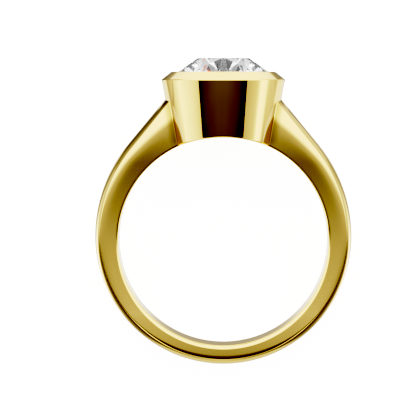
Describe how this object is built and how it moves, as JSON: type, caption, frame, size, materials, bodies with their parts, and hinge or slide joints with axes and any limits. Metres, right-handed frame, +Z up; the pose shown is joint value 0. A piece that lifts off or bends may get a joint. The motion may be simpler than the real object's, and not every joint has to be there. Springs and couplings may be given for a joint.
{
  "type": "bezel set ring",
  "caption": "Finger ring of polished yellow gold: a rounded band that rises straight into a tapered round bezel, whose bevelled lip holds a clear round brilliant stone.",
  "frame": {"origin": "under the middle of the ring as it lies on its side, at the level of the table it lies on", "axes": "+Y from the base of the shank towards the stone, +Z up from the table, +X across the shank"},
  "size_m": [0.0214, 0.0256, 0.0101],
  "materials": {
    "yellow_gold": "mirror polished",
    "clear_stone": "faceted and polished"
  },
  "bodies": {
    "root": {"shank_with_bezel": "yellow_gold", "stone": "clear_stone"}
  },
  "joints": []
}
